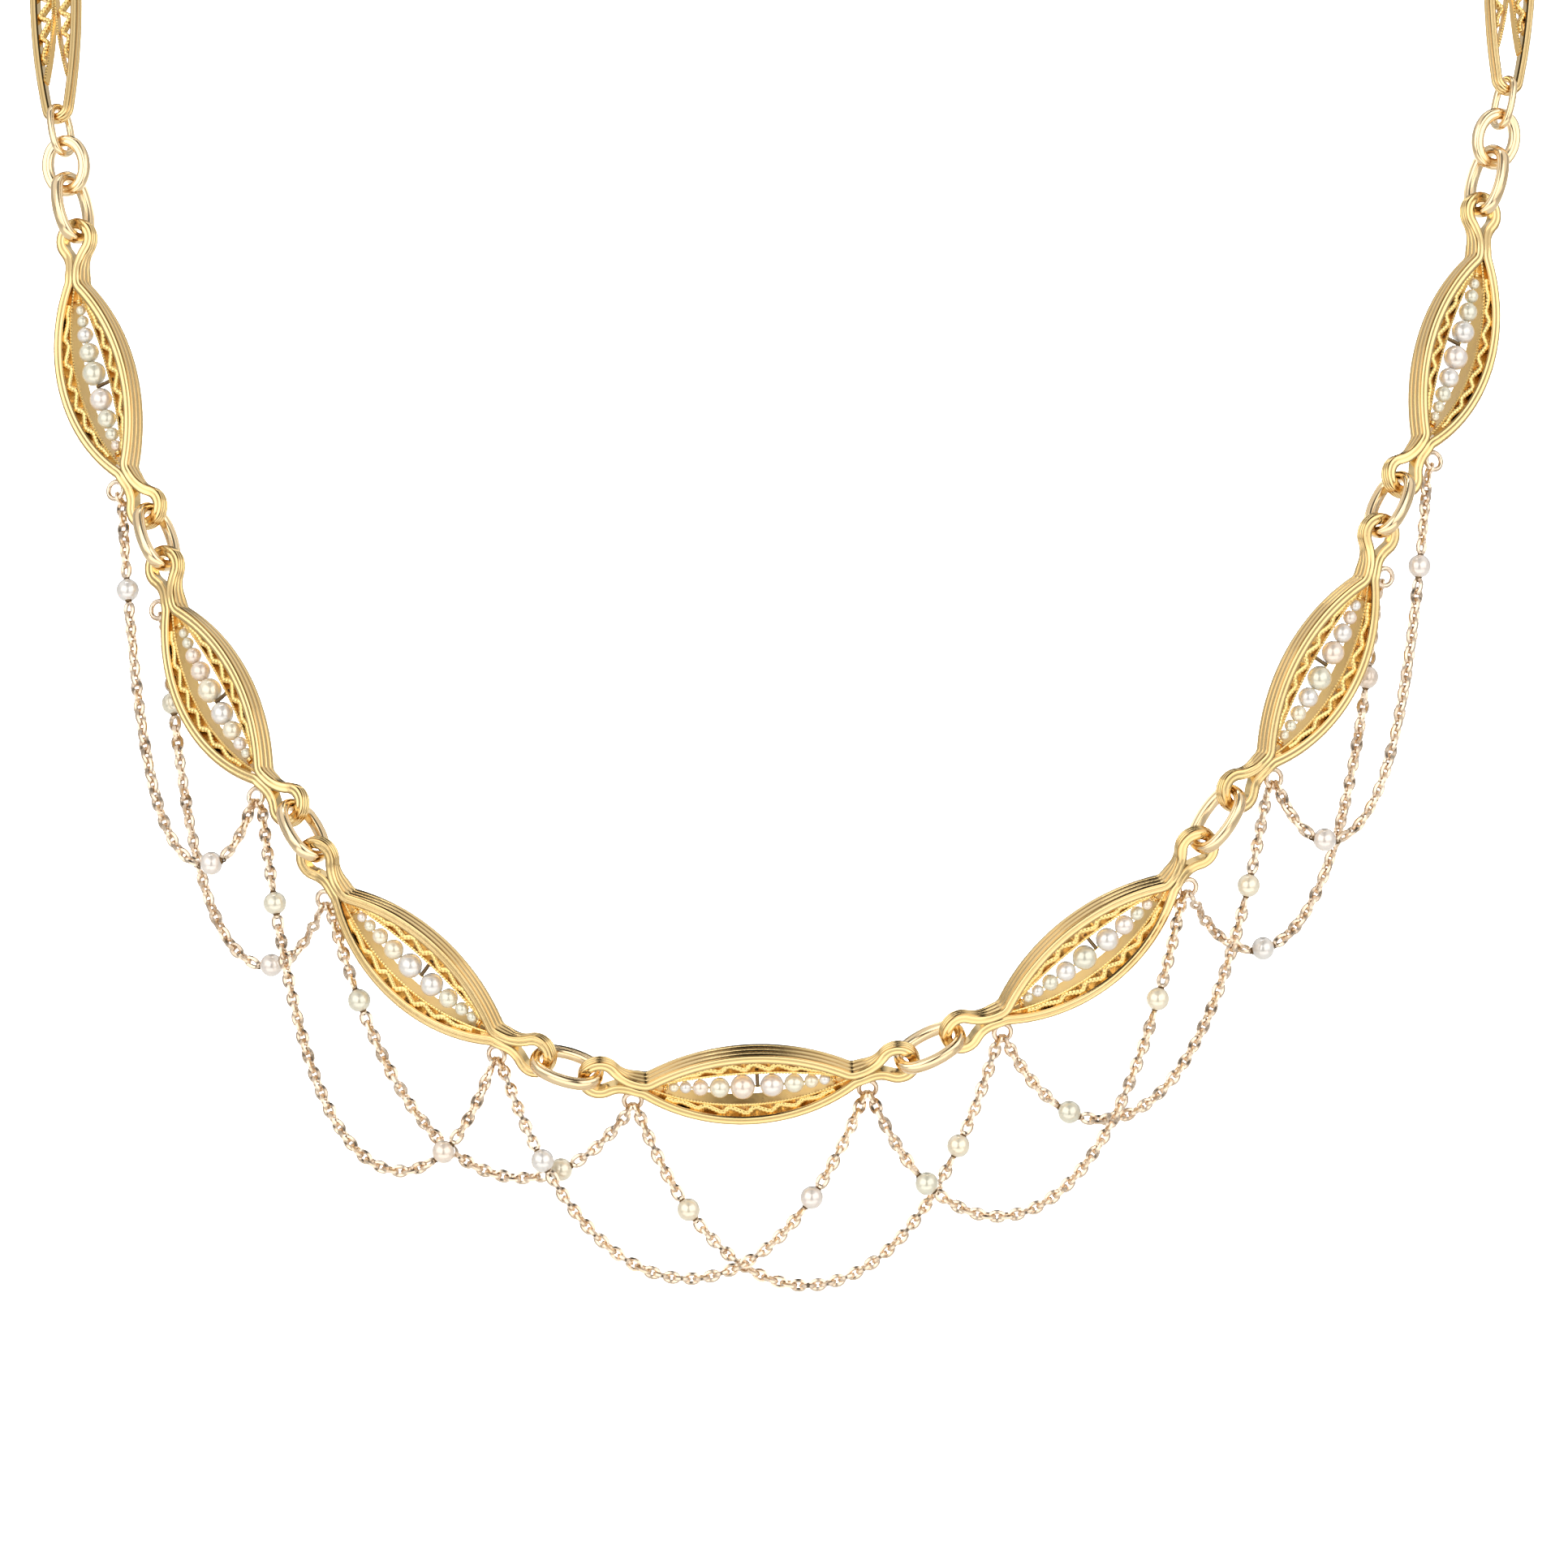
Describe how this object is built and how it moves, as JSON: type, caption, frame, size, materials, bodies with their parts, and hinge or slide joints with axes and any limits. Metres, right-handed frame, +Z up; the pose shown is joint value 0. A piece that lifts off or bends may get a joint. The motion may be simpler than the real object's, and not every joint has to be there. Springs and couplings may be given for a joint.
{
  "type": "festoon necklace",
  "caption": "Gold necklace of openwork navette panels set with graduated pearls, hung with swags of fine pearl chain, closed by a plain clasp at the nape.",
  "frame": {"origin": "middle of the clasp at the nape of the neck", "axes": "+Z up, -Y towards the wearer's front, +X to the right of a person who looks at the front, along the clasp"},
  "size_m": [0.1176, 0.1059, 0.1165],
  "materials": {
    "yellow_gold": "polished yellow gold",
    "rose_gold": "polished pale rose gold",
    "pearl": "lustrous nacre"
  },
  "bodies": {
    "root": {"pearl_panel_1": "yellow_gold", "pearl_panel_2": "yellow_gold", "pearl_panel_3": "yellow_gold", "pearl_panel_4": "yellow_gold", "pearl_panel_5": "yellow_gold", "pearl_panel_6": "yellow_gold", "pearl_panel_7": "yellow_gold", "pearl_row_1": "pearl", "pearl_row_2": "pearl", "pearl_row_3": "pearl", "pearl_row_4": "pearl", "pearl_row_5": "pearl", "pearl_row_6": "pearl", "pearl_row_7": "pearl", "front_link_1": "rose_gold", "front_link_2": "rose_gold", "front_link_3": "rose_gold", "front_link_4": "rose_gold", "front_link_5": "rose_gold", "front_link_6": "rose_gold", "link_set_1": "rose_gold", "link_set_2": "rose_gold", "link_set_3": "rose_gold", "link_set_4": "rose_gold", "link_set_5": "rose_gold", "link_set_6": "rose_gold", "link_set_7": "rose_gold", "link_set_8": "rose_gold", "back_panel_1": "yellow_gold", "back_panel_2": "yellow_gold", "back_panel_3": "yellow_gold", "back_panel_4": "yellow_gold", "back_panel_5": "yellow_gold", "back_panel_6": "yellow_gold", "clasp": "yellow_gold", "festoon_chain_1": "rose_gold", "festoon_chain_2": "rose_gold", "festoon_chain_3": "rose_gold", "festoon_chain_4": "rose_gold", "festoon_chain_5": "rose_gold", "festoon_chain_6": "rose_gold", "festoon_chain_7": "rose_gold", "festoon_chain_8": "rose_gold", "festoon_chain_9": "rose_gold", "festoon_chain_10": "rose_gold", "festoon_pearls_1": "pearl", "festoon_pearls_2": "pearl", "festoon_pearls_3": "pearl", "festoon_pearls_4": "pearl", "festoon_pearls_5": "pearl", "festoon_pearls_6": "pearl", "festoon_pearls_7": "pearl", "festoon_pearls_8": "pearl", "festoon_pearls_9": "pearl", "festoon_pearls_10": "pearl"}
  },
  "joints": []
}
